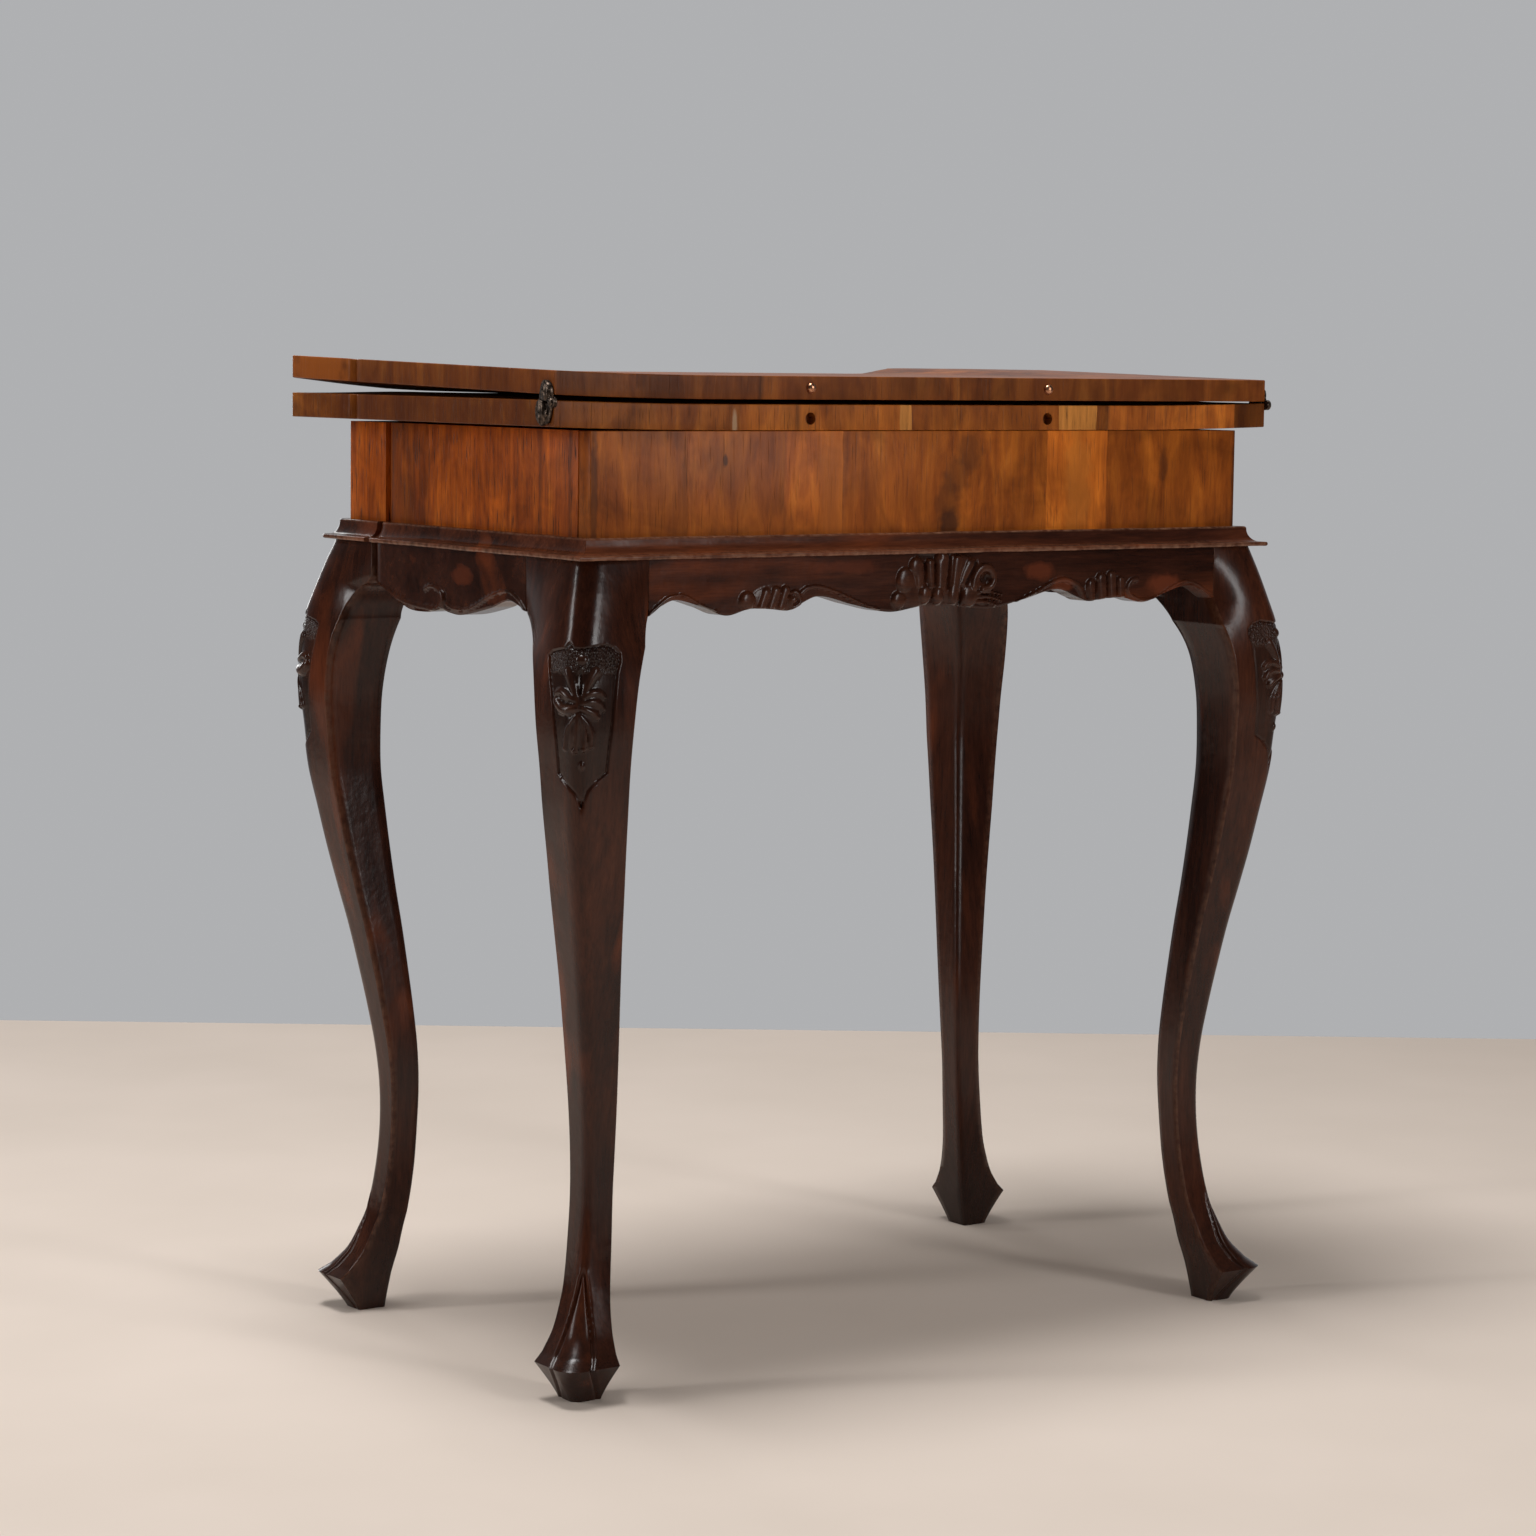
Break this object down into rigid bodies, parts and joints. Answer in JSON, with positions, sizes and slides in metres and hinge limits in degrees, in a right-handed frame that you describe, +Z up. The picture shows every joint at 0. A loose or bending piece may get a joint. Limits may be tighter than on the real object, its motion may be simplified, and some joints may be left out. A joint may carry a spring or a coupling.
{
  "type": "fold over card table",
  "caption": "Antique style card table on cabriole legs. The folded double top swivels on its box, opens on end hinges and uncovers a shallow compartment.",
  "frame": {"origin": "on the floor, below the middle of the closed table's bounding box", "axes": "+Z up, X along the long sides, -Y towards the shaped front, +Y towards the straight back where the leaves are hinged"},
  "size_m": [0.7086, 0.4436, 0.7877],
  "materials": {
    "stained_walnut": "dark stained and waxed, glossy on the mouldings and knees",
    "walnut_veneer": "satin, polished veneer with upright grain on the edges",
    "plain_wood": "bare and matt",
    "dark_iron": "dark, worn and dull",
    "copper_brass": "rubbed bright"
  },
  "bodies": {
    "frame": {"leg_back_left": "stained_walnut", "leg_back_right": "stained_walnut", "leg_front_left": "stained_walnut", "leg_front_right": "stained_walnut", "apron_back": "stained_walnut", "apron_front": "stained_walnut", "apron_left": "stained_walnut", "apron_right": "stained_walnut", "moulding_back": "stained_walnut", "moulding_front": "stained_walnut", "moulding_left": "stained_walnut", "moulding_right": "stained_walnut", "box_back": "walnut_veneer", "box_front": "walnut_veneer", "box_left": "walnut_veneer", "box_right": "walnut_veneer", "corner_brace_back_left": "plain_wood", "corner_brace_back_right": "plain_wood", "corner_brace_front_left": "plain_wood", "corner_brace_front_right": "plain_wood", "box_bottom": "plain_wood", "pivot_rail": "plain_wood"},
    "lower_leaf": {"lower_leaf": "walnut_veneer", "pivot_bolt": "dark_iron", "pivot_washer": "dark_iron", "pivot_nut": "dark_iron", "swivel_stop": "plain_wood", "hinge_lower_plate_left": "dark_iron", "hinge_lower_plate_right": "dark_iron", "hinge_screw_lower_left": "dark_iron", "hinge_screw_lower_right": "dark_iron", "hinge_pin_left": "dark_iron", "hinge_pin_right": "dark_iron"},
    "upper_leaf": {"upper_leaf": "walnut_veneer", "hinge_upper_plate_left": "dark_iron", "hinge_upper_plate_right": "dark_iron", "hinge_screw_upper_left": "dark_iron", "hinge_screw_upper_right": "dark_iron", "alignment_stud_left": "copper_brass", "alignment_stud_right": "copper_brass"}
  },
  "joints": [
    {"name": "top_swivel", "type": "hinge", "parent": "frame", "child": "lower_leaf", "pos_m": [0.09125, 0.09595, 0.7353], "axis": [0, 0, 1], "range_deg": [0, 90]},
    {"name": "leaf_fold", "type": "hinge", "parent": "lower_leaf", "child": "upper_leaf", "pos_m": [0, 0.1875, 0.75605], "axis": [-1, 0, 0], "range_deg": [0, 180]}
  ]
}
